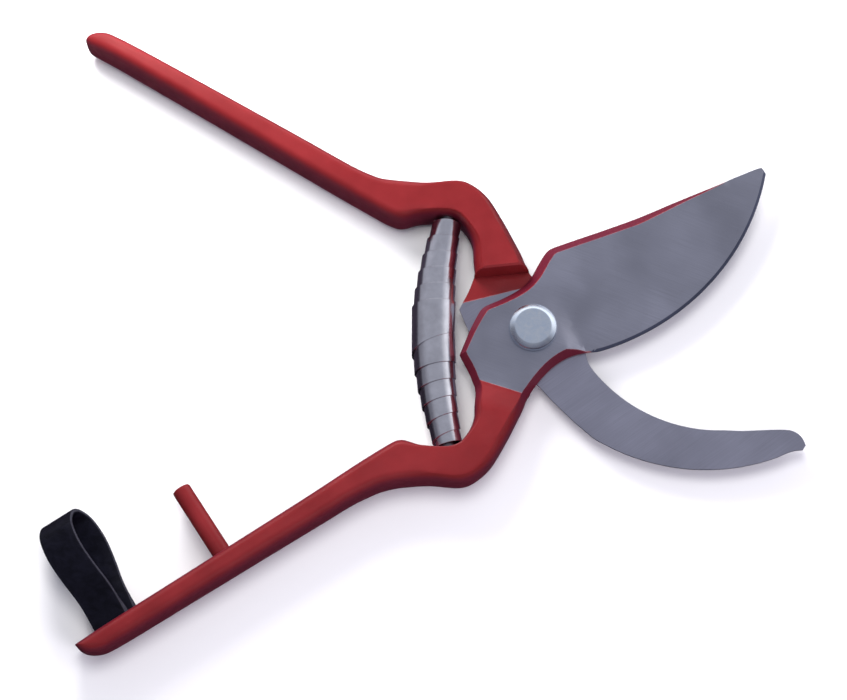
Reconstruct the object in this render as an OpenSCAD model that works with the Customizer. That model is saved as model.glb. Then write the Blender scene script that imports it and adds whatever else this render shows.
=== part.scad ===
// Bypass pruning shears, lying open and flat, with a volute spring, a stop peg and a leather catch loop.
// Millimetres. The origin is on the pivot axis in the plane the shears rest on.
// +Z runs up the pivot, +X towards the blades, +Y towards the handle that is joined to the hook.

/* [Forgings] */
// Thickness of both handles, and height of the shears at rest
handle_t = 13; // [12:0.5:14]
// Thickness of each lap plate round the pivot
plate_t = 4; // [3.5:0.25:4.5]
// Gap between the two lapped plates
lap_gap = 0.1; // [0.05:0.05:0.2]
// Width of the drafted rim round each ground plate
rim = 1.9; // [1:0.1:2.2]
// Length of the ramp from a ground plate up to its handle
ramp_len = 9; // [6:1:12]

/* [Blade] */
// Radius of the curved cutting edge
edge_r = 70.4; // [69:0.2:71]
// Thickness of the blade just behind its sharpened edge
edge_t = 0.5; // [0.4:0.1:0.8]
// Rise of the blade's ground face for each millimetre back from the edge
grind_slope = 0.12; // [0.1:0.01:0.13]
// Width of the sharpened bevel along the edge
sharp_w = 0.8; // [0.5:0.1:1.2]

/* [Pivot] */
// Radius of the bolt's shank
shank_r = 4; // [3:0.25:4.5]
// Radius of the bolt's round head
head_r = 6.65; // [6:0.05:7]
// Height of the bolt's head
head_h = 3; // [2:0.25:3.5]
// Running clearance of the shank in the turning half
pivot_play = 0.05; // [0.02:0.01:0.1]

/* [Spring] */
// Turns from the middle of the spring to either end
spring_turns = 6; // [5:1:7]
// Radius of the middle band
spring_r_mid = 6.15; // [5.8:0.05:6.3]
// Radius of the end turns
spring_r_end = 3.75; // [3.4:0.05:3.8]
// Thickness of the spring strip
strip_t = 0.32; // [0.25:0.01:0.33]
// Height of the middle band
band_h = 13.6; // [12:0.2:15]
// How far the middle of the spring bows out towards the grips
spring_bow = 4.2; // [3:0.1:5]

/* [Stop peg and strap] */
// Radius of the stop peg
peg_r = 2.6; // [2.2:0.1:3]
// Length of the peg clear of the handle
peg_len = 20.5; // [18:0.5:21]
// Width of the leather strap
strap_w = 9.5; // [8:0.5:10]
// Thickness of the leather
strap_t = 1.2; // [1:0.1:1.3]

/* [Hidden] */
$fn = 96;
eps = 0.01;
lap_z = handle_t / 2;
plate_bottom = lap_z + lap_gap / 2;
plate_top = lap_z + plate_t;
curve_steps = 4;

// Elbow and spring seat, shared by both halves (y is mirrored for the other half).
seat_y = -33.6;
spring_x = -23.3;
seat_margin = 0.9;
spring_half = -seat_y - seat_margin;
bow_r = (spring_half * spring_half + spring_bow * spring_bow) / (2 * spring_bow);
bow_tilt = asin(spring_half / bow_r);
bow_x = spring_x - spring_bow + bow_r;
stud_r = 2.3;
stud_len = 9;
stud_depth = 5;

// Blade edge: an arc about this centre.
edge_c = [-2, 61.7];
edge_heel_a = -73.4;
edge_tip_a = -12;

// Outlines are [x, y, share of the rim]. They run anticlockwise, so the metal is on the left.
heel = [[15.6, -5.9, 0.4]];
blade_edge = [
    for (i = [0:30])
        let (a = edge_heel_a + (edge_tip_a - edge_heel_a) * i / 30)
            [edge_c.x + edge_r * cos(a), edge_c.y + edge_r * sin(a), 0]
];
blade_spine = curve([
    [65.5, 48.9, 0], [59, 45.9, 0.6], [52.4, 42.9, 1], [41.9, 38.5, 1], [31.4, 34, 1],
    [22, 30.4, 1], [13.1, 27.2, 1], [5.4, 24.4, 1]
]);
plate_corner = concat(
    curve([[-14.4, 6.2, 1], [-17.1, 0.9, 1], [-20.2, -6.7, 1]]),
    curve([[-19.3, -8.7, 1], [-17.5, -12.1, 1], [-16.2, -15.8, 0.8]]),
    [[-13, -18.5, 0]]
);
plate_front = concat(
    [[-5, -20.5, 0]],
    curve([[-1.4, -18.6, 0.6], [1.1, -15, 1], [4.3, -11.3, 1], [7.9, -8.4, 1], [11.8, -6.6, 0.8]])
);
plate_top_edge = curve([
    [3.9, 23, 1], [1.8, 19.4, 1], [0, 16, 1], [-2.8, 12.8, 1], [-7.8, 9.8, 1], [-13.4, 7.3, 1]
]);
blade_outline = concat(heel, blade_edge, blade_spine, plate_top_edge, plate_corner, plate_front);

// The hook is drawn as seen from below, where it lies on the same side as the blade.
hook_edge = concat(
    curve([[15.2, -5.9, 0.4], [14.4, 0, 0.2], [14.7, 6, 0]]),
    arc([50.9, -14.6], 42.7, 146, 88, 14, 0),
    curve([[57, 28.3, 0], [68.5, 27.9, 0], [71.9, 28.6, 0], [73.7, 30.4, 0.2], [74.4, 32.4, 0.3]])
);
hook_back = concat(
    [[73.6, 33.6, 0.4]],
    arc([46.9, -17.4], 56.6, 65, 123, 14, 0.5),
    curve([[10.6, 25.1, 0.6], [5, 19.4, 0.8], [1, 14.9, 1], [-2.8, 12.8, 1], [-7.8, 9.8, 1], [-13.4, 7.3, 1]])
);
hook_outline = concat(hook_edge, hook_back, plate_corner, plate_front);

// The flat part of each plate ends on this line; beyond it lies the blade's hollow grind.
neck_line = curve([
    [5.2, 26], [5.7, 21.3], [6.9, 11.5], [9, 7], [11.4, 1.9], [13.4, -2.2], [14.9, -6.5]
]);

// Handles, both drawn on the lower side, from the lap plate along the grip side and back.
neck_in = [[-9, -11, 0], [-14.6, -13, 0.4], [-16.1, -20, 1], [-16.3, -25, 1], [-17.8, -29, 1], [-20.6, -32.6, 1]];
elbow_out = [
    [-36.8, -43.6, 1], [-28.4, -43, 1], [-20.2, -43.6, 1], [-15.8, -41.9, 1], [-11.9, -38.4, 1],
    [-8.5, -33, 1], [-5, -26.3, 1], [-1.8, -18.8, 0.6], [-3, -13, 0]
];
blade_handle = concat(
    curve(concat(neck_in, [[-24.4, seat_y, 1], [-31, -33.2, 1], [-36.4, -31.5, 1], [-40.6, -33.5, 1]])),
    curve([[-64.8, -49.6, 1], [-96.5, -70.4, 1], [-117.5, -84.1, 0.8]]),
    curve([[-122.8, -87.7, 0.1], [-121, -89.4, 0.5], [-117, -89.7, 0.9], [-112.5, -87.9, 1], [-97.2, -78.4, 1],
        [-73.3, -63.4, 1], [-57, -53.2, 1], [-49, -48.2, 1], [-42, -44.8, 1]]),
    curve(elbow_out)
);
hook_handle = concat(
    curve(concat(neck_in, [[-24.4, seat_y, 1], [-31, -33.2, 1], [-36.4, -31.5, 1], [-41, -33.2, 1]])),
    curve([[-58, -43.5, 1], [-90, -63.4, 1], [-118, -80.6, 1]]),
    curve([[-126.4, -85.2, 0.7], [-127.6, -87, 0.5], [-126, -88.8, 0.6], [-122.4, -89.3, 0.9], [-118, -87.7, 1], [-101, -78, 1],
        [-66.6, -57.8, 1], [-49.5, -47.6, 1], [-42, -44.2, 1]]),
    curve(elbow_out)
);

// Slices that round the handle's section: [share of the thickness, inset]. The same above and below.
crown = [[0, 1.8], [0.04, 1], [0.11, 0.4], [0.22, 0]];
draft_steps = 4;

// Stop peg and strap, placed along the blade half's grip.
grip_a = 213.3;
peg_foot = [-85, -61.7];
peg_root = 5;
strap_foot = [-112.3, -80.7];
strap_root = 5;
strap_pin_r = 1;
// The two legs lie a little askew: sideways slip for each mm across the gap, and for each mm of length.
strap_skew = 0.6;
strap_tilt = 0.05;
strap_gap = strap_t / 2 + 0.25;
slot_t = 2 * (strap_gap + strap_t / 2) + 0.2;
slot_w = strap_w + strap_skew * slot_t + 0.4;
strap_side = [
    [-strap_root, strap_gap], [1, strap_gap], [6, 1.6], [14, 3.9], [22, 5.2], [28, 4.4], [31, 2.3]
];
strap_centre = curve(concat(
    strap_side,
    [[31.9, 0]],
    reversed([for (p = strap_side) [p.x, -p.y]])
));

// One coordinate of a Catmull-Rom curve between b and c.
function blend(a, b, c, d, t) =
    0.5 * (2 * b + (c - a) * t + (2 * a - 5 * b + 4 * c - d) * t * t + (3 * b - a - 3 * c + d) * t * t * t);

// A smooth curve through the points, ending on the last one.
function curve(p) = concat(
    [
        for (i = [0:len(p) - 2])
            let (a = p[max(i - 1, 0)], d = p[min(i + 2, len(p) - 1)])
                for (s = [0:curve_steps - 1]) blend(a, p[i], p[i + 1], d, s / curve_steps)
    ],
    [p[len(p) - 1]]
);

// Points on an arc from angle a0 to a1, with a share of the rim.
function arc(c, r, a0, a1, n, share) = [
    for (i = [0:n]) let (a = a0 + (a1 - a0) * i / n) [c.x + r * cos(a), c.y + r * sin(a), share]
];

// The outline moved inwards by d times each point's share.
function inset(p, d) = [
    for (i = [0:len(p) - 1])
        let (
            before = p[(i + len(p) - 1) % len(p)],
            after = p[(i + 1) % len(p)],
            along = [after.x - before.x, after.y - before.y],
            inwards = [-along.y, along.x] / norm(along)
        )
            [p[i].x + inwards.x * d * p[i].z, p[i].y + inwards.y * d * p[i].z]
];

// An open line moved sideways by d.
function beside(p, d) = [
    for (i = [0:len(p) - 1])
        let (along = p[min(i + 1, len(p) - 1)] - p[max(i - 1, 0)])
            p[i] + [-along.y, along.x] * d / norm(along)
];

function reversed(p) = [for (i = [len(p) - 1:-1:0]) p[i]];

// Turns a hook-half shape, drawn on the blade's side, over onto its own side.
module turn_over() {
    translate([0, 0, handle_t]) rotate([180, 0, 0]) children();
}

// A lap plate with its rim drafted in steps, widest at the lap face.
module lap_plate(outline) {
    step = plate_t / draft_steps;
    for (i = [0:draft_steps - 1])
        translate([0, 0, i == 0 ? plate_bottom : lap_z + i * step])
            linear_extrude(i == 0 ? step - lap_gap / 2 : step)
                polygon(inset(outline, rim * i / (draft_steps - 1)));
}

// A handle of crowned section at full thickness.
module handle_bar(outline) {
    for (i = [0:len(crown) - 1])
        translate([0, 0, crown[i].x * handle_t])
            linear_extrude(handle_t * (1 - 2 * crown[i].x))
                polygon(inset(outline, crown[i].y));
}

// What is cut from a handle so that it meets its plate: the lap notch below and the ramp above.
module plate_relief() {
    translate([0, 0, -1])
        linear_extrude(plate_bottom + 1)
            polygon([[-40, -13.4], [-16, -15.9], [-2.7, -17.3], [20, -19.7], [20, 40], [-40, 40]]);
    translate([-9, -16.7, 0])
        rotate([90, 0, 72])
            linear_extrude(60, center = true)
                polygon([[-ramp_len, handle_t], [0, plate_top], [40, plate_top], [40, 20], [-ramp_len, 20]]);
}

// One half's plate and handle with its bores, drawn as the blade half.
module half_blank(plate_outline, handle_outline, bore_r) {
    difference() {
        union() {
            lap_plate(plate_outline);
            difference() {
                handle_bar(handle_outline);
                plate_relief();
            }
        }
        translate([0, 0, lap_z - 1]) cylinder(r = bore_r, h = plate_t + 2);
        spring_stud(stud_r);
    }
}

// Everything above the blade's ground face: a cone that falls to the curved edge.
module grind_void() {
    z_edge = plate_bottom + edge_t;
    reach = (plate_top - z_edge) / grind_slope + 3;
    intersection() {
        translate([edge_c.x, edge_c.y, 0])
            rotate_extrude($fn = 180)
                polygon([
                    [edge_r - reach, z_edge + grind_slope * reach],
                    [edge_r - sharp_w, z_edge + grind_slope * sharp_w],
                    [edge_r + 0.1, plate_bottom + 0.1],
                    [edge_r + 4, plate_bottom - 1.5],
                    [edge_r + 4, plate_top + 2],
                    [edge_r - reach, plate_top + 2]
                ]);
        translate([0, 0, lap_z])
            linear_extrude(plate_t + 3)
                polygon(concat(neck_line, [[30, -12], [80, 0], [80, 60], [5, 40]]));
    }
}

// A pin along the spring's end tangent, seated in the handle.
module spring_stud(r) {
    translate([spring_x, seat_y, lap_z])
        rotate([-90, 0, bow_tilt])
            translate([0, 0, -stud_depth])
                cylinder(r = r, h = stud_depth + stud_len);
}

// Places its children at a foot on the blade half's grip, with +Z pointing out of the grip's inner side.
module on_grip(foot) {
    translate([foot.x, foot.y, lap_z]) rotate([0, 0, grip_a - 180]) rotate([-90, 0, 0]) children();
}

module blade_forging() {
    color([0.62, 0.18, 0.19])
        difference() {
            half_blank(blade_outline, blade_handle, shank_r);
            grind_void();
            on_grip(peg_foot) translate([0, 0, -peg_root]) cylinder(r = peg_r, h = peg_root + 3);
            on_grip(strap_foot) translate([0, 0, 2 - strap_root])
                cube([slot_w, slot_t, 2 * strap_root + 4], center = true);
            strap_pin();
        }
}

module hook_forging() {
    color([0.62, 0.18, 0.19])
        turn_over() half_blank(hook_outline, hook_handle, shank_r + pivot_play);
}

module pivot_bolt() {
    head_flat = head_r - 1.75;
    color([0.72, 0.76, 0.82])
        union() {
            cylinder(r = shank_r, h = plate_top + eps);
            translate([0, 0, plate_top])
                rotate_extrude()
                    polygon([
                        [0, 0], [head_r - 0.3, 0], [head_r, 0.3], [head_r, head_h * 0.55],
                        [head_flat, head_h], [0, head_h]
                    ]);
        }
}

module lock_washer() {
    color([0.6, 0.62, 0.66])
        translate([0, 0, lap_z - plate_t - 0.6])
            difference() {
                cylinder(r = head_r - 0.2, h = 0.6);
                translate([0, 0, -1]) cylinder(r = shank_r + 0.15, h = 3);
                rotate([0, 0, 40]) translate([shank_r, -0.4, -1]) cube([4, 0.8, 3]);
            }
}

module pivot_nut() {
    color([0.6, 0.62, 0.66])
        translate([0, 0, 0.2])
            difference() {
                cylinder(r = 7, h = lap_z - plate_t - 0.8, $fn = 6);
                translate([0, 0, -1]) cylinder(r = shank_r, h = 5);
            }
}

// A flat strip wound outwards to the middle band and inwards again, each turn standing out of the last.
module volute_spring() {
    per_turn = 24;
    n = spring_turns * per_turn;
    rise = spring_half - band_h / 2;
    function top(u) = band_h / 2 + rise * u;
    function seam(u) = u * spring_turns * 2 < 1
        ? -band_h / 2 * (1 - u * spring_turns * 2) + 0.2
        : 0.2 + (spring_half - 6.2) * (u - 0.5 / spring_turns) / (1 - 0.5 / spring_turns);
    function upper(u) = u >= 0 ? top(u) : -seam(-u);
    function lower(u) = u >= 0 ? seam(u) : -top(-u);
    function on_bow(along, r, turn) =
        let (a = along / bow_r * 180 / PI, rr = bow_r + r * cos(turn))
            [bow_x - rr * cos(a), rr * sin(a), lap_z + r * sin(turn)];
    function section(k) =
        let (
            u = k / n,
            turn = 360 * k / per_turn,
            r = spring_r_mid - (spring_r_mid - spring_r_end) * abs(u)
        )
            [
                on_bow(lower(u), r - strip_t, turn), on_bow(lower(u), r, turn),
                on_bow(upper(u), r, turn), on_bow(upper(u), r - strip_t, turn)
            ];
    points = [for (k = [-n:n]) each section(k)];
    last = 2 * n;
    color([0.8, 0.8, 0.84])
        polyhedron(
            points,
            concat(
                [[3, 2, 1, 0]],
                [for (k = [0:last - 1]) for (j = [0:3])
                    [4 * k + j, 4 * k + (j + 1) % 4, 4 * k + 4 + (j + 1) % 4, 4 * k + 4 + j]],
                [[4 * last, 4 * last + 1, 4 * last + 2, 4 * last + 3]]
            )
        );
}

module spring_stud_lower() {
    color([0.55, 0.55, 0.58]) spring_stud(stud_r);
}

module spring_stud_upper() {
    color([0.55, 0.55, 0.58]) turn_over() spring_stud(stud_r);
}

module stop_peg() {
    color([0.62, 0.18, 0.19])
        on_grip(peg_foot) {
            translate([0, 0, -peg_root]) cylinder(r = peg_r, h = peg_root + peg_len - 0.6);
            translate([0, 0, peg_len - 0.6]) cylinder(r1 = peg_r, r2 = peg_r - 0.6, h = 0.6);
        }
}

// The strap is one band, doubled back on itself, with both ends in the handle's slot.
module strap_loop() {
    half = strap_t / 2;
    color([0.08, 0.08, 0.12])
        difference() {
            on_grip(strap_foot)
                multmatrix([[1, strap_skew, strap_tilt, 0], [0, 1, 0, 0], [0, 0, 1, 0]])
                    rotate([0, -90, 0])
                        linear_extrude(strap_w, center = true)
                            polygon(concat(beside(strap_centre, half), reversed(beside(strap_centre, -half))));
            strap_pin();
        }
}

module strap_pin() {
    color([0.55, 0.55, 0.58])
        on_grip(strap_foot)
            translate([0, 0, -strap_root / 2]) rotate([90, 0, 0]) cylinder(r = strap_pin_r, h = 9, center = true);
}

blade_forging();
hook_forging();
pivot_bolt();
lock_washer();
pivot_nut();
volute_spring();
spring_stud_lower();
spring_stud_upper();
stop_peg();
strap_loop();
strap_pin();
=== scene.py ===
"""Open pruning shears: two forged halves, pivot bolt, volute spring, stop peg and leather catch loop."""

import math

import bmesh
import bpy
import numpy as np
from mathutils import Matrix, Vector
from mathutils.geometry import delaunay_2d_cdt


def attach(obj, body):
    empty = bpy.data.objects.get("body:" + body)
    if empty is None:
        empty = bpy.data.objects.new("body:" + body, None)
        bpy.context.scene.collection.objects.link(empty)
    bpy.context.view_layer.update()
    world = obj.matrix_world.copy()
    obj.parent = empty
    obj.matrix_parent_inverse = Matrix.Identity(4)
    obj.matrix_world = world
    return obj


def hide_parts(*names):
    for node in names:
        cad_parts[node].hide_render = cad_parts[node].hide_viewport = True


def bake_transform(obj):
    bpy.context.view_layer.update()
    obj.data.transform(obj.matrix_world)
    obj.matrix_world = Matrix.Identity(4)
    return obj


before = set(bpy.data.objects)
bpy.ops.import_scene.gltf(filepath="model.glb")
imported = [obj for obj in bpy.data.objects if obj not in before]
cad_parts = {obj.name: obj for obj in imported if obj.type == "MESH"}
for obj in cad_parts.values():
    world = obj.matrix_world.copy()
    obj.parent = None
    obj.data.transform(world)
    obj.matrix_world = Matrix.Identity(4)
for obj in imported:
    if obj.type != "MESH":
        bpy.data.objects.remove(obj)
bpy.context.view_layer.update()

MM = 0.001

# ---------------------------------------------------------------- sizes in mm that the CAD model has too
HANDLE_T = 13.0
LAP_Z = HANDLE_T / 2
PLATE_T = 4.0
PLATE_TOP = LAP_Z + PLATE_T
PLATE_BOTTOM = LAP_Z + 0.05
RIM = 1.9
RIM_FOOT = 0.6
EDGE_CENTRE = np.array([-2.0, 61.7])
EDGE_R = 70.4
EDGE_T = 0.5
SHARP_W = 0.8
GRIND_SLOPE = 0.12
RAMP_FOOT = np.array([-9.0, -16.7])
RAMP_DIR = math.radians(-18)
RAMP_LEN = 9.0
NOTCH_FOOT = np.array([-9.35, -16.6])
NOTCH_DIR = math.radians(-6)
SHANK_R = 4.0
NECK_LINE = [(5.2, 26), (5.7, 21.3), (6.9, 11.5), (9, 7), (11.4, 1.9), (13.4, -2.2), (14.9, -6.5)]
GRIP_A = 213.3
PEG_FOOT = (-85.0, -61.7)
PEG_R = 2.6
PEG_LEN = 20.5
STRAP_FOOT = (-112.3, -80.7)
STRAP_W = 9.5
STRAP_SKEW = 0.6
STRAP_TILT = 0.05
STRAP_T = 1.2
STRAP_ROOT = 5.0
SPRING_TURNS = 6
SPRING_R_MID = 6.15
SPRING_R_END = 3.75
STRIP_T = 0.32
BAND_H = 13.6
SPRING_HALF = 32.7
SPRING_X = -23.3
SPRING_BOW = 4.2
BOW_R = (SPRING_HALF**2 + SPRING_BOW**2) / (2 * SPRING_BOW)
BOW_X = SPRING_X - SPRING_BOW + BOW_R

# ---------------------------------------------------------------- sizes in mm of the visual model alone
PAINT_FOOT = np.array([-11.5, -10.6])
PAINT_DIR = math.radians(-14.6)
SHARP_SLOPE = 0.62
STEP_AT = (0, 0.3, 0.6, 1.2)
STEP_SHARE = (0, 0.8, 0.95, 1)
RIM_WIDTH_SHARES = (0.85, 1.45)
RIM_END_X = 57.0
RIM_RUN_OUT = 28.0
EDGE_START_X = 15.9
RIM_LOW_RUN_OUT = 6.0
SIDE_H = 2.2
GRIP_END_LEN = 16.0
GRIP_END_DROP = 1.6
GRIP_FROM = 8.0
GRIP_BLEND = 22.0
NECK_ROUND_W = 2.1
GRIP_ROUND_W = 2.7
SPRING_SEAT = np.array([-23.3, -33.6])
SEAT_ROUND_W = 1.1
SEAT_REACH = 13.0
NECK_SLOPE_W = 5.2
HEEL_RISE = 0.85
HEEL_REACH = 14.0
HEEL_EASE = 6.0
HOOK_START = (2.0, -4.0)
HOOK_EDGE_CENTRE = np.array([49.0, -16.0])
HOOK_EDGE_R = 50.0
HOOK_EDGE_START_X = 13.8
SEAM_GAP = 0.2
END_TURN_H = 6.2
SQUARE_FROM = 0.88

# ---------------------------------------------------------------- mesh choices
OUTLINE_SPACING = 0.75
SHORTEST_STEP = 0.12
# Within this distance of the ramp's foot the outline's bends count as soft.
SOFT_BENDS_R = 11.0
GRID_SPACING = 1.5
CHUNK = 1000
FAR_FROM_EDGE = 5.0
# Rings of points follow the outline at these shares of the rim's width; the first is joined up as a crease.
FRACTIONS = (1.0, 0.03, 0.1, 0.22, 0.4, 0.6, 0.8, 1.08)
# Material numbers on a forging.
ENAMEL, STEEL, HONED = 0, 1, 2


# ---------------------------------------------------------------- plane geometry
def smooth_line(points, per_span=6):
    """A Catmull-Rom curve through the points."""
    p = np.array(points, float)
    out = []
    for i in range(len(p) - 1):
        a, b, c, d = p[max(i - 1, 0)], p[i], p[i + 1], p[min(i + 2, len(p) - 1)]
        for t in np.linspace(0, 1, per_span, endpoint=False):
            out.append(0.5 * (2 * b + (c - a) * t + (2 * a - 5 * b + 4 * c - d) * t**2
                              + (3 * b - a - 3 * c + d) * t**3))
    out.append(p[-1])
    return np.array(out)


def node_cut(name, z):
    """The segments in which a CAD node's surface crosses height z, shape (n, 2, 2)."""
    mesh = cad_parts[name].data
    mesh.calc_loop_triangles()
    co = np.array([v.co for v in mesh.vertices]) / MM
    tri = co[np.array([t.vertices for t in mesh.loop_triangles])]
    h = tri[:, :, 2] - z
    tri = tri[(h.min(1) < 0) & (h.max(1) > 0)]
    segments = []
    for t in tri:
        ends = []
        for a, b in ((t[0], t[1]), (t[1], t[2]), (t[2], t[0])):
            if (a[2] - z) * (b[2] - z) < 0:
                ends.append(a[:2] + (b[:2] - a[:2]) * (z - a[2]) / (b[2] - a[2]))
        segments.append(ends)
    return np.round(np.array(segments), 3)


def inside(points, segments):
    """Which points lie inside the closed loops that the segments make."""
    a, b = segments[:, 0], segments[:, 1]
    x, y = points[:, :1], points[:, 1:]
    straddles = (a[:, 1] > y) != (b[:, 1] > y)
    with np.errstate(divide="ignore", invalid="ignore"):
        crossing = a[:, 0] + (y - a[:, 1]) * (b[:, 0] - a[:, 0]) / (b[:, 1] - a[:, 1])
    return (straddles & (x < crossing)).sum(1) % 2 == 1


def triangulate(points, edges):
    """Constrained Delaunay triangulation: (points, triangles)."""
    result = delaunay_2d_cdt([Vector(p) for p in points], [tuple(map(int, e)) for e in edges], [], 0, 1e-4)
    return np.array([tuple(v) for v in result[0]]), np.array([f for f in result[2] if len(f) == 3])


def loops_round(triangles):
    """The directed boundary loops of a triangle mesh, as lists of vertex numbers."""
    directed = {(t[i], t[(i + 1) % 3]) for t in triangles for i in range(3)}
    after = {a: b for a, b in directed if (b, a) not in directed}
    loops = []
    while after:
        start, at = next(iter(after.items()))
        del after[start]
        loop = [start]
        while at != start:
            loop.append(at)
            at = after.pop(at)
        loops.append(loop)
    return loops


def anticlockwise(points, triangles):
    p = points[triangles]
    u, v = p[:, 1] - p[:, 0], p[:, 2] - p[:, 0]
    flip = u[:, 0] * v[:, 1] - u[:, 1] * v[:, 0] < 0
    triangles = triangles.copy()
    triangles[flip] = triangles[flip][:, ::-1]
    return triangles


def node_outline(name, heights):
    """The outer loop of a node's shadow, joined from cuts at several heights."""
    cuts = [node_cut(name, z) for z in heights]
    ends = np.concatenate(cuts).reshape(-1, 2)
    points, index = np.unique(ends, axis=0, return_inverse=True)
    edges = index.reshape(-1, 2)
    points, triangles = triangulate(points, edges[edges[:, 0] != edges[:, 1]])
    triangles = anticlockwise(points, triangles)
    middle = points[triangles].mean(1)
    held = np.any([inside(middle, c) for c in cuts], axis=0)
    loops = [points[loop] for loop in loops_round(triangles[held])]
    return max(loops, key=lambda p: np.ptp(p[:, 0]))


def turn_at(p):
    """The turning angle at each point of a closed loop, in degrees."""
    before, after = p - np.roll(p, 1, 0), np.roll(p, -1, 0) - p
    angle = np.arctan2(after[:, 1], after[:, 0]) - np.arctan2(before[:, 1], before[:, 0])
    return np.degrees((angle + math.pi) % (2 * math.pi) - math.pi)


def resample(loop, spacing, corner=40.0):
    """A closed loop with even spacing that keeps its corners."""
    far = np.linalg.norm(loop - np.roll(loop, 1, 0), axis=1) > SHORTEST_STEP
    loop = loop[far]
    sharp = (np.abs(turn_at(loop)) > corner) & (np.linalg.norm(loop - RAMP_FOOT, axis=1) > SOFT_BENDS_R)
    corners = np.where(sharp)[0]
    out, fixed = [], []
    for k, c in enumerate(corners):
        end = corners[(k + 1) % len(corners)]
        span = (end - c) % len(loop) or len(loop)
        run = loop[(c + np.arange(span + 1)) % len(loop)]
        along = np.r_[0, np.cumsum(np.linalg.norm(np.diff(run, axis=0), axis=1))]
        slope = np.gradient(run, along, axis=0)
        n = max(2, int(round(along[-1] / spacing)))
        for i in range(n):
            s = along[-1] * i / n
            j = min(np.searchsorted(along, s, side="right") - 1, len(run) - 2)
            h = along[j + 1] - along[j]
            t = (s - along[j]) / h
            out.append((2 * t**3 - 3 * t**2 + 1) * run[j] + (t**3 - 2 * t**2 + t) * h * slope[j]
                       + (3 * t**2 - 2 * t**3) * run[j + 1] + (t**3 - t**2) * h * slope[j + 1])
            fixed.append(i == 0)
    out, fixed = np.array(out), np.array(fixed)
    for _ in range(3):
        eased = 0.5 * out + 0.25 * (np.roll(out, 1, 0) + np.roll(out, -1, 0))
        out = np.where(fixed[:, None], out, eased)
    return out


def distance(points, a, b):
    """The distance of each point from the nearest of the segments a-b."""
    best = np.empty(len(points))
    ab = b - a
    for start in range(0, len(points), CHUNK):
        p = points[start:start + CHUNK, None]
        t = np.clip(((p - a) * ab).sum(2) / (ab**2).sum(1), 0, 1)
        best[start:start + CHUNK] = np.linalg.norm(p - a - t[..., None] * ab, axis=2).min(1)
    return best


def side_of(points, line):
    """Signed distance from a polyline, positive on its left."""
    line = np.asarray(line, float)
    a, ab = line[:-1], np.diff(line, axis=0)
    p = points[:, None] - a
    t = (p * ab).sum(2) / (ab**2).sum(1)
    t[:, 1:] = np.maximum(t[:, 1:], 0)
    t[:, :-1] = np.minimum(t[:, :-1], 1)
    gap = p - t[..., None] * ab
    size = np.linalg.norm(gap, axis=2)
    k = size.argmin(1)
    row = np.arange(len(points))
    cross = ab[k, 0] * p[row, k, 1] - ab[k, 1] * p[row, k, 0]
    return np.sign(cross) * size[row, k]


def beyond(points, foot, direction):
    """Signed distance past a straight line through foot, positive on the line's right."""
    normal = np.array([math.sin(direction), -math.cos(direction)])
    return (points - foot) @ normal


def smoothstep(t):
    t = np.clip(t, 0, 1)
    return t * t * (3 - 2 * t)


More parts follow.
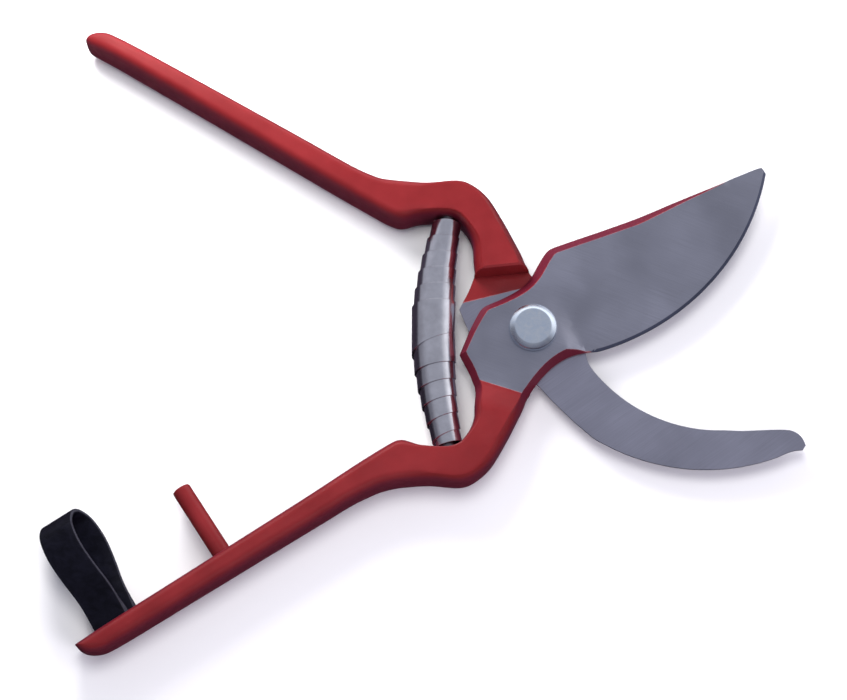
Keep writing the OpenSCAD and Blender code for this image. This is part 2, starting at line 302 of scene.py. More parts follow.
# ---------------------------------------------------------------- the forged halves
class Forging:
    """One half as a height field above and below its outline, with a drafted rim and a crowned handle.

    Both are drawn as the blade half lies; the hook half is turned over afterwards.
    """

    def __init__(self, outline, bare_edge, is_blade):
        self.points = resample(outline, OUTLINE_SPACING)
        self.is_blade = is_blade
        self.bare_edge = bare_edge
        self.refresh()

    def refresh(self):
        p = self.points
        self.next = np.roll(p, -1, 0)
        along = self.next - np.roll(p, 1, 0)
        self.inward = np.stack([-along[:, 1], along[:, 0]], 1) / np.linalg.norm(along, axis=1)[:, None]
        middle = (p + self.next) / 2
        self.rim_side = ~self.bare_edge(middle)
        self.corner_now = np.abs(turn_at(p)) > 20
        self.tip = p[p[:, 0].argmin()]

    def segments(self):
        return np.stack([self.points, self.next], 1)

    def cut_at(self, line):
        """Adds outline points where a line crosses it, and returns the line clipped to them."""
        line = np.asarray(line, float)
        hits = []
        for a, b in zip(line[:-1], line[1:]):
            for i in range(len(self.points)):
                c, d = self.points[i], self.next[i]
                m = np.array([b - a, c - d]).T
                if abs(np.linalg.det(m)) < 1e-9:
                    continue
                t, u = np.linalg.solve(m, c - a)
                if 0 <= t < 1 and 0 <= u < 1:
                    hits.append((i, tuple(c + u * (d - c))))
        for i, at in sorted(hits, reverse=True):
            self.points = np.insert(self.points, i + 1, at, axis=0)
        self.refresh()
        ends = sorted(np.array([h[1] for h in hits]), key=lambda q: np.linalg.norm(q - line[0]))
        first, last = ends[0], ends[-1]
        heading = last - first
        kept = [q for q in line if 0.02 < (q - first) @ heading / (heading @ heading) < 0.98]
        return np.array([first, *kept, last])

    def depth(self, points):
        """Distance in from the outline, and from its drafted part alone."""
        every = distance(points, self.points, self.next)
        drafted = distance(points, self.points[self.rim_side], self.next[self.rim_side])
        return every, drafted

    def share(self, points):
        """0 on the plate, 1 on the handle."""
        return smoothstep(beyond(points, RAMP_FOOT, RAMP_DIR) / RAMP_LEN)

    def half_height(self, points):
        """Half the handle's thickness, eased down at the grip's end."""
        near = np.clip(np.linalg.norm(points - self.tip, axis=1) / GRIP_END_LEN, 0, 1)
        return HANDLE_T / 2 - GRIP_END_DROP * (1 - near) ** 2

    def face(self, points):
        """The top face before its rim: plate, ramp, handle, and the blade's hollow grind."""
        past = np.clip(beyond(points, RAMP_FOOT, RAMP_DIR) / RAMP_LEN, 0, 1)
        z = PLATE_TOP + (LAP_Z + self.half_height(points) - PLATE_TOP) * smooth_end(past)
        if self.is_blade:
            back = EDGE_R - np.linalg.norm(points - EDGE_CENTRE, axis=1)
            past_neck = side_of(points, NECK)
            grind = PLATE_BOTTOM + EDGE_T + GRIND_SLOPE * np.maximum(back, SHARP_W)
            grind -= np.clip(SHARP_W - back, 0, 1) * SHARP_SLOPE
            heel = np.exp(-np.maximum(past_neck, 0) / HEEL_REACH) * smoothstep(back / HEEL_EASE)
            grind += HEEL_RISE * heel
            ease = np.clip(1 + past_neck / NECK_SLOPE_W, 0, 1) ** 1.1
            z = z + (np.minimum(grind, z) - z) * ease
        return z

    def rim_width(self, points):
        """The drafted rim's width: on the blade widest at the spine, and tapered at both its ends."""
        if not self.is_blade:
            return np.full(len(points), RIM)
        x, y = points.T
        front, spine = RIM_WIDTH_SHARES
        wide = front + (spine - front) * smoothstep((y + 10) / 32)
        low_end = np.where(y < 0, np.clip((EDGE_START_X - x) / RIM_LOW_RUN_OUT, 0.2, 1), 1)
        return RIM * wide * low_end * np.maximum(self.rim_share(points), 0.03)

    def rim_share(self, points):
        """1 on a full rim, falling to 0 where it runs out along the blade's spine."""
        if not self.is_blade:
            return np.ones(len(points))
        return np.clip((RIM_END_X - points[:, 0]) / RIM_RUN_OUT, 0, 1)

    def on_rim(self, points):
        return self.depth(points)[1] < self.rim_width(points)

    def grip_share(self, points):
        """0 at the neck, where the handle is chamfered, and 1 along the grip, where it is rounded."""
        return smoothstep((beyond(points, RAMP_FOOT, RAMP_DIR) - GRIP_FROM) / GRIP_BLEND)

    def round_width(self, points):
        """How wide the rounding is: less at the neck, and least where the spring is seated."""
        width = NECK_ROUND_W + (GRIP_ROUND_W - NECK_ROUND_W) * self.grip_share(points)
        near = 1 - np.linalg.norm(points - SPRING_SEAT, axis=1) / SEAT_REACH
        return width + (SEAT_ROUND_W - width) * smoothstep(near * 1.8)

    def side(self, points, below):
        """1 on the rims and side walls, 0 on the faces: where the enamel is darkened as painted shade."""
        every, drafted = self.depth(points)
        plate = (drafted < self.rim_width(points) * 1.01) & (not below)
        handle = 1 - smoothstep(every / self.round_width(points) / 0.5)
        return plate + (handle - plate) * self.share(points)

    def crown(self, points, every):
        """The handle's rounding as a share of its height."""
        power = 1.3 + 1.1 * self.grip_share(points)
        return (1 - (1 - np.clip(every / self.round_width(points), 0, 1)) ** power) ** (1 / power)

    def top(self, points):
        every, drafted = self.depth(points)
        face = self.face(points)
        foot = face + (PLATE_BOTTOM + RIM_FOOT - face) * self.rim_share(points) ** 0.5
        rim = foot + (face - foot) * np.clip(drafted / self.rim_width(points), 0, 1)
        plate = np.minimum(face, rim)
        crown = LAP_Z + SIDE_H + (face - LAP_Z - SIDE_H) * self.crown(points, every)
        return plate + (crown - plate) * self.share(points)

    def bottom(self, points):
        every, _ = self.depth(points)
        low = LAP_Z - self.half_height(points)
        crown = LAP_Z - SIDE_H - (LAP_Z - SIDE_H - low) * self.crown(points, every)
        past = beyond(points, NOTCH_FOOT, NOTCH_DIR)
        step = np.interp(past, STEP_AT, STEP_SHARE)
        return PLATE_BOTTOM + (crown - PLATE_BOTTOM) * step


def smooth_end(t):
    """Rises steadily from 0 and eases into 1."""
    return np.where(t < 0.6, t * 1.25, 1 - 1.5625 * (1 - t) ** 2)


NECK = smooth_line(NECK_LINE)
BORE_TURN = np.linspace(0, 2 * math.pi, 64, endpoint=False)
BORE = SHANK_R * np.array([(math.cos(a), math.sin(a)) for a in BORE_TURN])


def straight(foot, direction, reach=45):
    """A straight line through foot, long enough to cross the neck."""
    along = np.array([math.cos(direction), math.sin(direction)])
    return np.array([foot + along * t for t in np.arange(-reach, reach + 1, GRID_SPACING)])


def shifted(foot, direction, by):
    return foot + by * np.array([math.sin(direction), -math.cos(direction)])


class Cloud:
    """Points for one triangulation, each kept only if it is clear of those before it."""

    def __init__(self):
        self.points, self.edges = [], []

    def clear(self, candidates, gap):
        if not self.points or not len(candidates):
            return np.ones(len(candidates), bool)
        have = np.array(self.points)
        gap = np.broadcast_to(gap, len(candidates))
        free = np.ones(len(candidates), bool)
        for start in range(0, len(candidates), CHUNK):
            chunk = slice(start, start + CHUNK)
            near = np.linalg.norm(candidates[chunk, None] - have, axis=2).min(1)
            free[chunk] = near > gap[chunk]
        return free

    def line(self, points, closed=False):
        first = len(self.points)
        self.points.extend(points)
        count = len(points)
        self.edges += [(first + i, first + (i + 1) % count) for i in range(count if closed else count - 1)]


def ring(cloud, half, widths, fraction, gap, crisp):
    """Adds one ring of points inside the outline, and joins them where crisp says so."""
    turn = np.radians(np.clip(np.abs(turn_at(half.points)), 0, 100)) / 2
    stretch = np.where(half.corner_now, 1 / np.cos(turn), 1)
    reach = widths * fraction
    at = half.points + half.inward * (reach * stretch)[:, None]
    every, _ = half.depth(at)
    keep = (every > reach - 0.1) & inside(at, half.segments()) & cloud.clear(at, gap)
    first = len(cloud.points)
    index = np.where(keep)[0]
    cloud.points.extend(at[index])
    for k, i in enumerate(index):
        j = index[(k + 1) % len(index)]
        if crisp[i] and crisp[j] and np.linalg.norm(at[i] - at[j]) < 2.2:
            cloud.edges.append((first + k, first + (k + 1) % len(index)))


def surface(half, widths, lines, crisp):
    """Triangulates one face of a forging: (points, triangles)."""
    cloud = Cloud()
    cloud.line(half.points, closed=True)
    cloud.line(BORE, closed=True)
    ends = {tuple(np.round(p, 6)): i for i, p in enumerate(half.points)}
    for line in lines:
        first = len(cloud.points)
        cloud.points.extend(line[1:-1])
        numbers = [ends[tuple(np.round(line[0], 6))], *range(first, first + len(line) - 2),
                   ends[tuple(np.round(line[-1], 6))]]
        cloud.edges += list(zip(numbers[:-1], numbers[1:]))
    for fraction in FRACTIONS:
        gap = np.clip(widths * 0.028, 0.03, 0.2) if fraction < 0.2 else 0.2
        ring(cloud, half, widths, fraction, gap, crisp if fraction == 1.0 else np.zeros(len(widths), bool))
    low, high = half.points.min(0), half.points.max(0)
    rows = np.arange(low[1], high[1], GRID_SPACING * 0.87)
    row = np.arange(low[0], high[0], GRID_SPACING)
    grid = np.array([(x + (k % 2) * GRID_SPACING / 2, y) for k, y in enumerate(rows) for x in row])
    grid = grid[inside(grid, half.segments()) & (np.linalg.norm(grid, axis=1) > SHANK_R + 0.8)]
    every, _ = half.depth(grid)
    grid = grid[(every > 1.2) & cloud.clear(grid, 0.75)]
    cloud.points.extend(grid)
    points, triangles = triangulate(cloud.points, cloud.edges)
    triangles = anticlockwise(points, triangles)
    middle = points[triangles].mean(1)
    held = inside(middle, half.segments()) & (np.linalg.norm(middle, axis=1) > SHANK_R * 0.998)
    return points, triangles[held]


def zip_loops(a_points, a_loop, b_points, b_loop, offset):
    """Triangles that join two loops that run the same way round; b's numbers are raised by offset."""
    def measured(points, loop):
        return np.r_[0, np.cumsum(np.linalg.norm(np.diff(points[loop + loop[:1]], axis=0), axis=1))]
    start = a_points[a_loop[0]]
    k = int(np.linalg.norm(b_points[b_loop] - start, axis=1).argmin())
    b_loop = b_loop[k:] + b_loop[:k]
    la, lb = measured(a_points, a_loop), measured(b_points, b_loop)
    la, lb = la / la[-1], lb / lb[-1]
    i = j = 0
    faces = []
    while i < len(a_loop) or j < len(b_loop):
        a0, b0 = a_loop[i % len(a_loop)], b_loop[j % len(b_loop)] + offset
        if j == len(b_loop) or (i < len(a_loop) and la[i + 1] <= lb[j + 1] + 1e-9):
            faces.append((a0, b0, a_loop[(i + 1) % len(a_loop)]))
            i += 1
        else:
            faces.append((a0, b0, b_loop[(j + 1) % len(b_loop)] + offset))
            j += 1
    return faces


def crease_widths(half):
    """How far in from the outline the rim ends, at each outline point."""
    width = np.where(half.bare_edge(half.points), SHARP_W, half.rim_width(half.points))
    return width + (half.round_width(half.points) - width) * half.share(half.points)


def forging_mesh(name, half, turned, painted):
    """The closed mesh of one forging. painted(points, where) gives the faces' material numbers."""
    foot_line = half.cut_at(straight(RAMP_FOOT, RAMP_DIR))
    notch = [half.cut_at(straight(shifted(NOTCH_FOOT, NOTCH_DIR, d), NOTCH_DIR)) for d in STEP_AT]
    paint_line = half.cut_at(straight(PAINT_FOOT, PAINT_DIR))
    top_lines = [foot_line] + ([half.cut_at(NECK)] if half.is_blade else [])
    widths = crease_widths(half)
    share = half.share(half.points)
    under = np.where(beyond(half.points, NOTCH_FOOT, NOTCH_DIR) > 0, half.round_width(half.points), 0.5)
    top_at, top_tri = surface(half, widths, top_lines, share < 0.6)
    low_at, low_tri = surface(half, under, notch + [paint_line], np.zeros(len(under), bool))

    count = len(top_at)
    faces = [tuple(t) for t in top_tri] + [tuple(t[::-1] + count) for t in low_tri]
    kinds = list(painted(top_at[top_tri].mean(1), "top")) + list(painted(low_at[low_tri].mean(1), "bottom"))
    every_at = np.concatenate([top_at, low_at])
    for a_loop in loops_round(top_tri):
        span = np.ptp(top_at[a_loop][:, 0])
        b_loop = min(loops_round(low_tri), key=lambda q: abs(np.ptp(low_at[q][:, 0]) - span))
        wall = zip_loops(top_at, a_loop, low_at, b_loop, count)
        faces += wall
        kinds += list(painted(every_at[np.array(wall)].mean(1), "wall"))

    xyz = np.column_stack([every_at, np.concatenate([half.top(top_at), half.bottom(low_at)])])
    if turned:
        xyz = xyz * [1, -1, -1] + [0, 0, HANDLE_T]
    mesh = bpy.data.meshes.new(name)
    mesh.from_pydata((xyz * MM).tolist(), [], [tuple(map(int, f)) for f in faces])
    mesh.validate()
    mesh.polygons.foreach_set("material_index", np.array(kinds, np.int32))
    mesh.polygons.foreach_set("use_smooth", np.ones(len(mesh.polygons), bool))
    mesh.set_sharp_from_angle(angle=math.radians(24))
    set_layer(mesh, "edge_mm", border_distance(mesh, xyz))
    # The "side" layer marks where the enamel gets its painted shade.
    set_layer(mesh, "side", np.concatenate([half.side(top_at, False), half.side(low_at, True)]))
    return mesh


def border_distance(mesh, xyz):
    """Each point's distance from the line where enamel meets ground steel, in mm, up to FAR_FROM_EDGE."""
    kinds = {}
    for face in mesh.polygons:
        for edge in face.edge_keys:
            kinds.setdefault(edge, set()).add(face.material_index)
    border = np.array([edge for edge, found in kinds.items() if len(found) == 2 and ENAMEL in found])
    ends = xyz[border]
    return np.minimum(distance(xyz, ends[:, 0], ends[:, 1]), FAR_FROM_EDGE)


def set_layer(mesh, name, values):
    layer = mesh.attributes.new(name, "FLOAT", "POINT")
    layer.data.foreach_set("value", np.broadcast_to(values, len(mesh.vertices)).astype(np.float32))


def grip_frame(foot):
    """Where a fitting on the lower grip starts, the direction along the grip, and out of its inner side."""
    out = math.radians(GRIP_A - 90)
    along = math.radians(GRIP_A)
    return (np.array([foot[0], foot[1], LAP_Z]), np.array([math.cos(along), math.sin(along), 0]),
            np.array([math.cos(out), math.sin(out), 0]))


def add_object(name, mesh, body, *materials):
    piece = bpy.data.objects.new(name, mesh)
    bpy.context.scene.collection.objects.link(piece)
    for m in materials:
        mesh.materials.append(m)
    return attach(piece, body) if body else piece


def mesh_from(name, points, faces, smooth_angle=30):
    mesh = bpy.data.meshes.new(name)
    mesh.from_pydata((np.asarray(points, float) * MM).tolist(), [], [tuple(map(int, f)) for f in faces])
    mesh.validate()
    turned_out = bmesh.new()
    turned_out.from_mesh(mesh)
    bmesh.ops.recalc_face_normals(turned_out, faces=turned_out.faces)
    turned_out.to_mesh(mesh)
    turned_out.free()
    mesh.polygons.foreach_set("use_smooth", np.ones(len(mesh.polygons), bool))
    mesh.set_sharp_from_angle(angle=math.radians(smooth_angle))
    return mesh


def rounded_profile(corners, cuts, steps=5):
    """A polyline whose inner corners are rounded by the lengths in cuts."""
    out = [corners[0]]
    for k in range(1, len(corners) - 1):
        a, b, c = (np.array(corners[k + d], float) for d in (-1, 0, 1))
        cut = cuts[k - 1]
        p, q = b + (a - b) / np.linalg.norm(a - b) * cut, b + (c - b) / np.linalg.norm(c - b) * cut
        for t in np.linspace(0, 1, steps):
            out.append((1 - t) ** 2 * p + 2 * t * (1 - t) * b + t * t * q)
    out.append(corners[-1])
    return np.array([tuple(x) for x in out])


def lathe(name, profile, origin, axis, across, segments=72, smooth_angle=30):
    """Turns an (r, h) profile that starts and ends on the axis round that axis."""
    third = np.cross(axis, across)
    points = [origin + axis * profile[0][1]]
    for r, h in profile[1:-1]:
        for a in np.linspace(0, 2 * math.pi, segments, endpoint=False):
            points.append(origin + axis * h + r * (across * math.cos(a) + third * math.sin(a)))
    points.append(origin + axis * profile[-1][1])
    rows = len(profile) - 2
    faces = [(0, 1 + (i + 1) % segments, 1 + i) for i in range(segments)]
    for k in range(rows - 1):
        for i in range(segments):
            a, b = 1 + k * segments + i, 1 + k * segments + (i + 1) % segments
            faces.append((a, b, b + segments, a + segments))
    last = 1 + (rows - 1) * segments
    faces += [(last + i, last + (i + 1) % segments, len(points) - 1) for i in range(segments)]
    return mesh_from(name, points, faces, smooth_angle)


def pivot_bolt_mesh():
    """A shank with a low round head whose rim slopes up to a flat top."""
    head_r, flat_r, cut = 6.65, 4.9, 0.3
    head_side, head_top = PLATE_TOP + 1.65, PLATE_TOP + 3.0
    corners = [(0, 0), (SHANK_R - cut, 0), (SHANK_R, cut), (SHANK_R, PLATE_TOP), (head_r - cut, PLATE_TOP),
               (head_r, PLATE_TOP + cut), (head_r, head_side), (flat_r, head_top), (0, head_top)]
    profile = rounded_profile(corners, [0.1, 0.1, 0.02, 0.1, 0.15, 0.5, 0.5])
    return lathe("pivot_bolt", profile, np.zeros(3), np.array([0, 0, 1.0]), np.array([1.0, 0, 0]), 96)


def hex_nut_mesh():
    """A thin hexagon nut with both its faces chamfered to a circle, and its bore."""
    low, high, flat = 0.2, 1.9, 7 * math.cos(math.pi / 6)
    face_r = flat * 0.97
    points, faces, n = [], [], 96
    for i in range(n):
        a = 2 * math.pi * i / n
        from_flat = (a + math.pi / 6) % (math.pi / 3) - math.pi / 6
        r = flat / math.cos(from_flat)
        drop = 0.05 + (r - flat * 0.985) * 0.55
        for radius, z in ((SHANK_R, low), (face_r, low), (r, low + drop), (r, high - drop), (face_r, high),
                          (SHANK_R, high)):
            points.append((radius * math.cos(a + math.pi / 6), radius * math.sin(a + math.pi / 6), z))
    for i in range(n):
        j = (i + 1) % n
        for k in range(6):
            m = (k + 1) % 6
            faces.append((6 * i + k, 6 * j + k, 6 * j + m, 6 * i + m))
    return mesh_from("pivot_nut", points, faces, 25)


def strip_edges(u):
    """The two edges of the spring strip, along the spring, at u from -1 to 1. Its ends are cut square."""
    v = abs(u)
    half_turn = 0.5 / SPRING_TURNS
    outer = BAND_H / 2 + (SPRING_HALF - BAND_H / 2) * min(v / SQUARE_FROM, 1)
    if v < half_turn:
        seam = SEAM_GAP - BAND_H / 2 * (1 - v / half_turn)
    else:
        seam = SEAM_GAP + (SPRING_HALF - END_TURN_H) * (v - half_turn) / (1 - half_turn)
    return (seam, outer) if u >= 0 else (-outer, -seam)


def volute_spring_mesh():
    """The wound strip, and for each point its place from the lower end, 0, to the upper end, 1."""
    per_turn = 56
    n = SPRING_TURNS * per_turn
    b = 0.07
    points, share = [], []
    for k in range(-n, n + 1):
        u, turn = k / n, 2 * math.pi * k / per_turn
        r = SPRING_R_MID - (SPRING_R_MID - SPRING_R_END) * abs(u)
        bore = r - STRIP_T
        low, high = strip_edges(u)
        for along, radius in ((low, bore + b), (low + b, bore), (high - b, bore), (high, bore + b),
                              (high, r - b), (high - b, r), (low + b, r), (low, r - b)):
            bow = along / BOW_R
            reach = BOW_R + radius * math.cos(turn)
            z = LAP_Z + radius * math.sin(turn)
            points.append((BOW_X - reach * math.cos(bow), reach * math.sin(bow), z))
            share.append((u + 1) / 2)
    last = 2 * n
    faces = [tuple(range(8)), tuple(8 * last + i for i in range(7, -1, -1))]
    for k in range(last):
        for j in range(8):
            m = (j + 1) % 8
            faces.append((8 * k + j, 8 * k + 8 + j, 8 * k + 8 + m, 8 * k + m))
    return mesh_from("volute_spring", points, faces, 35), np.array(share)


def stop_peg_mesh():
    origin, along, out = grip_frame(PEG_FOOT)
    profile = rounded_profile([(0, -5), (PEG_R, -5), (PEG_R, PEG_LEN), (0, PEG_LEN)], [0.3, 0.7], 7)
    mesh = lathe("stop_peg", profile, origin, out, along, 48)
    set_layer(mesh, "edge_mm", FAR_FROM_EDGE)
    return mesh


def strap_centre_line():
    gap = STRAP_T / 2 + 0.25
    side = [(-STRAP_ROOT, gap), (1, gap), (6, 1.6), (14, 3.9), (22, 5.2), (28, 4.4), (31, 2.3)]
    return smooth_line(side + [(31.9, 0)] + [(h, -z) for h, z in reversed(side)], 8)


def strap_slip(h, z):
    """How far the band has slid towards the grip's end: its two legs lie a little askew."""
    near_root = math.copysign(1.0, z) * (1 - smoothstep(h / 12)) * min(1, abs(z))
    return STRAP_SKEW * z - STRAP_TILT * h + near_root


def strap_mesh():
    """The doubled strap as one band with rounded cut edges. Material 1 is the cut edge."""
    origin, along, out = grip_frame(STRAP_FOOT)
    line = strap_centre_line()
    tangent = np.gradient(line, axis=0)
    tangent /= np.linalg.norm(tangent, axis=1)[:, None]
    normal = np.stack([-tangent[:, 1], tangent[:, 0]], 1)
    w, t, b = STRAP_W / 2, STRAP_T / 2, 0.25
    face_w = w - b * 0.7
    low = [(-w, -t + b)] + [(x, -t) for x in (-face_w, -w / 2, 0, w / 2, face_w)] + [(w, -t + b)]
    across = np.array(low + [(-x, -y) for x, y in low])
    m = len(across)
    points, faces, kinds = [], [], []
    for c, n in zip(line, normal):
        for x, y in across:
            h, z = c + n * y
            points.append(origin + out * h + along * (x + strap_slip(h, z)) + [0, 0, z])
    for k in range(len(line) - 1):
        for j in range(m):
            i = (j + 1) % m
            faces.append((m * k + j, m * k + i, m * k + m + i, m * k + m + j))
            kinds.append(1 if j in (len(low) - 1, m - 1) else 0)
    faces += [tuple(range(m - 1, -1, -1)), tuple(m * (len(line) - 1) + i for i in range(m))]
    kinds += [1, 1]
    mesh = mesh_from("strap_loop", points, faces, 40)
    mesh.polygons.foreach_set("material_index", np.array(kinds, np.int32))
    return mesh


# ---------------------------------------------------------------- materials
def mixed(tree, kind, factor, a, b):
    """Adds a colour mix to a node tree. The factor and both colours are sockets or plain values."""
    made = tree.nodes.new("ShaderNodeMix")
    made.data_type, made.blend_type = "RGBA", kind
    sockets = {i.identifier: i for i in made.inputs}
    for name, value in (("Factor_Float", factor), ("A_Color", a), ("B_Color", b)):
        if isinstance(value, bpy.types.NodeSocket):
            tree.links.new(value, sockets[name])
        else:
            sockets[name].default_value = value if isinstance(value, float) else (*value, 1.0)
    return next(o for o in made.outputs if o.identifier == "Result_Color")


class Shader:
    """A material whose node tree is built one short call at a time. Lengths are in metres."""

    def __init__(self, name, **values):
        self.material = bpy.data.materials.new(name)
        self.material.use_nodes = True
        self.tree = self.material.node_tree
        self.surface = self.tree.nodes["Principled BSDF"]
        self.place = self.node("ShaderNodeTexCoord").outputs["Object"]
        for socket, value in values.items():
            self.surface.inputs[socket.replace("_", " ")].default_value = value

    def node(self, kind, **inputs):
        made = self.tree.nodes.new(kind)
        for socket, value in inputs.items():
            self.feed(made.inputs[socket.replace("_", " ")], value)
        return made

    def feed(self, socket, value):
        if isinstance(value, bpy.types.NodeSocket):
            self.tree.links.new(value, socket)
        else:
            socket.default_value = value

    def stretched(self, sizes, turn=(0, 0, 0)):
        """Object coordinates turned, then divided by three sizes, for a grain that is longer one way."""
        mapping = self.node("ShaderNodeMapping", Vector=self.place, Rotation=turn, Scale=sizes)
        mapping.vector_type = "TEXTURE"
        return mapping.outputs["Vector"]

    def noise(self, size, detail=4.0, roughness=0.55, distortion=0.0, turn=(0, 0, 0)):
        """Noise whose grain has the given size, or three sizes."""
        sizes = size if isinstance(size, tuple) else (size,) * 3
        made = self.node("ShaderNodeTexNoise", Vector=self.stretched(sizes, turn), Scale=1.0, Detail=detail,
                         Roughness=roughness, Distortion=distortion)
        return made.outputs["Fac"]

    def attribute(self, name):
        made = self.node("ShaderNodeAttribute")
        made.attribute_name = name
        return made.outputs["Fac"]

    def remap(self, value, low, high, to_low=0.0, to_high=1.0):
        made = self.node("ShaderNodeMapRange", Value=value)
        ends = {"From Min": low, "From Max": high, "To Min": to_low, "To Max": to_high}
        for socket, number in ends.items():
            self.feed(made.inputs[socket], number)
        return made.outputs["Result"]

    def math(self, operation, a, b):
        made = self.node("ShaderNodeMath")
        made.operation = operation
        self.feed(made.inputs[0], a)
        self.feed(made.inputs[1], b)
        return made.outputs[0]

    def mix(self, factor, a, b):
        return mixed(self.tree, "MIX", factor, a, b)

    def colour(self, value):
        self.feed(self.surface.inputs["Base Color"], value)

    def rough(self, value):
        self.feed(self.surface.inputs["Roughness"], value)

    def bump(self, height, distance, strength=1.0, after=None):
        made = self.node("ShaderNodeBump", Height=height, Distance=distance, Strength=strength)
        if after is not None:
            self.feed(made.inputs["Normal"], after)
        self.feed(self.surface.inputs["Normal"], made.outputs["Normal"])
        return made.outputs["Normal"]


def red_enamel():
    """Semi-gloss enamel with orange peel, slow shade changes, wear where the grinding cut its edge, and
    painted shade that darkens its rims and side walls towards a dark violet.
    """
    m = Shader("red_enamel", IOR=1.42)
    cloud = m.noise(0.011, detail=3)
    speck = m.noise(0.0012, detail=5, roughness=0.7)
    red = m.mix(m.remap(cloud, 0.35, 0.7), (0.155, 0.0085, 0.010), (0.195, 0.013, 0.015))
    red = m.mix(m.remap(speck, 0.62, 0.8, 0, 0.35), red, (0.11, 0.006, 0.009))
    # Painted shade: where the "side" layer marks rims and side walls, the red is darkened towards a dark
    # violet that stands in for shade and a dim bluish reflection.
    red = m.mix(m.remap(m.attribute("side"), 0, 1, 0, 0.85), red, (0.10, 0.010, 0.024))
    near = m.attribute("edge_mm")
    ragged = m.math("ADD", near, m.remap(speck, 0.3, 0.7, -0.12, 0.12))
    worn = m.remap(ragged, 0.05, 0.22, 1, 0)
    m.colour(m.mix(worn, red, (0.30, 0.12, 0.13)))
    m.rough(m.remap(m.noise(0.004, detail=4), 0.3, 0.7, 0.28, 0.42))
    peel = m.noise(0.0009, detail=2)
    forged = m.noise(0.006, detail=3)
    first = m.bump(forged, 0.00022, 0.5)
    m.bump(peel, 0.00003, 0.6, after=first)
    return m.material


def ground_steel(name, turn, tint=(0.425, 0.43, 0.485)):
    """Satin ground steel with fine parallel grinding lines and a slow, slightly violet mottle."""
    m = Shader(name, Metallic=1.0)
    lines = m.noise((0.012, 0.00016, 0.01), detail=5, roughness=0.65, turn=(0, 0, turn))
    coarse = m.noise((0.03, 0.0011, 0.02), detail=3, turn=(0, 0, turn))
    cloud = m.noise(0.020, detail=2, distortion=0.3)
    stain = m.noise(0.0022, detail=6, roughness=0.7)
    shade = m.mix(m.remap(cloud, 0.3, 0.7), tint, tuple(c * 1.4 for c in tint))
    shade = m.mix(m.remap(lines, 0.3, 0.72, 0, 0.4), shade, tuple(c * 0.72 for c in tint))
    shade = m.mix(m.remap(stain, 0.6, 0.85, 0, 0.3), shade, (0.30, 0.27, 0.29))
    m.colour(shade)
    m.rough(m.math("ADD", m.remap(cloud, 0.3, 0.7, 0.30, 0.40), m.remap(lines, 0.3, 0.7, -0.05, 0.06)))
    first = m.bump(lines, 0.00002, 0.7)
    m.bump(coarse, 0.00004, 0.35, after=first)
    return m.material


def zinc_plate():
    m = Shader("zinc_plate", Metallic=1.0)
    spangle = m.noise(0.0018, detail=3, distortion=0.8)
    fine = m.noise(0.0003, detail=4)
    m.colour(m.mix(m.remap(spangle, 0.3, 0.7), (0.78, 0.89, 0.99), (0.90, 0.97, 1.0)))
    m.rough(m.remap(spangle, 0.3, 0.7, 0.16, 0.24))
    m.bump(fine, 0.000005, 0.5)
    return m.material


def spring_steel():
    m = Shader("spring_steel", Metallic=1.0)
    drawn = m.noise((0.006, 0.006, 0.0003), detail=4)
    cloud = m.noise(0.004, detail=3)
    m.colour(m.mix(m.remap(cloud, 0.3, 0.7), (0.68, 0.68, 0.70), (0.84, 0.84, 0.86)))
    m.rough(m.remap(drawn, 0.3, 0.7, 0.14, 0.27))
    m.bump(drawn, 0.000015, 0.6)
    return m.material


def black_leather():
    """Smooth finished leather: closed pores and faint creases."""
    m = Shader("black_leather", IOR=1.2)
    pores = m.node("ShaderNodeTexVoronoi", Vector=m.stretched((0.00055,) * 3), Scale=1.0).outputs["Distance"]
    crease = m.noise((0.004, 0.004, 0.0012), detail=5, distortion=1.2)
    m.colour(m.mix(m.remap(crease, 0.35, 0.7), (0.0018, 0.0018, 0.004), (0.005, 0.005, 0.010)))
    m.rough(m.remap(crease, 0.3, 0.7, 0.36, 0.52))
    first = m.bump(crease, 0.00025, 0.5)
    m.bump(pores, 0.00007, 0.6, after=first)
    return m.material


def leather_edge():
    """The cut edge: rougher fibres that show a little lighter."""
    m = Shader("leather_edge")
    fibre = m.noise((0.0015, 0.0015, 0.0002), detail=5)
    m.colour(m.mix(m.remap(fibre, 0.3, 0.7), (0.012, 0.012, 0.02), (0.04, 0.04, 0.055)))
    m.rough(m.remap(fibre, 0.3, 0.7, 0.6, 0.85))
    m.bump(fibre, 0.0001, 0.7)
    return m.material


def dark_steel():
    m = Shader("dark_steel", Metallic=1.0)
    turned = m.noise((0.004, 0.0003, 0.004), detail=4)
    m.colour(m.mix(m.remap(turned, 0.3, 0.7), (0.30, 0.30, 0.32), (0.42, 0.42, 0.44)))
    m.rough(m.remap(turned, 0.3, 0.7, 0.32, 0.45))
    m.bump(turned, 0.00002, 0.5)
    return m.material


def pale_floor():
    m = Shader("floor", Roughness=0.9)
    shade = m.remap(m.noise(0.2), 0.3, 0.7)
    m.colour(m.mix(shade, (0.93, 0.93, 0.93), (0.95, 0.95, 0.95)))
    return m.material


# ---------------------------------------------------------------- assembly
def blade_bare(p):
    """The blade's sharpened edge has no rim, nor has the last of its spine."""
    on_edge = np.abs(np.linalg.norm(p - EDGE_CENTRE, axis=1) - EDGE_R) < 0.5
    return (on_edge & (p[:, 0] > EDGE_START_X)) | (p[:, 0] > RIM_END_X)


def hook_bare(p):
    """The hook's inner edge has no rim either."""
    return (p[:, 0] > HOOK_EDGE_START_X) & (np.linalg.norm(p - HOOK_EDGE_CENTRE, axis=1) < HOOK_EDGE_R)


def painted_zones(p):
    """Which points lie past the ramp's foot on top, and which past the paint line underneath."""
    return beyond(p, RAMP_FOOT, RAMP_DIR) > 0, beyond(p, PAINT_FOOT, PAINT_DIR) > 0


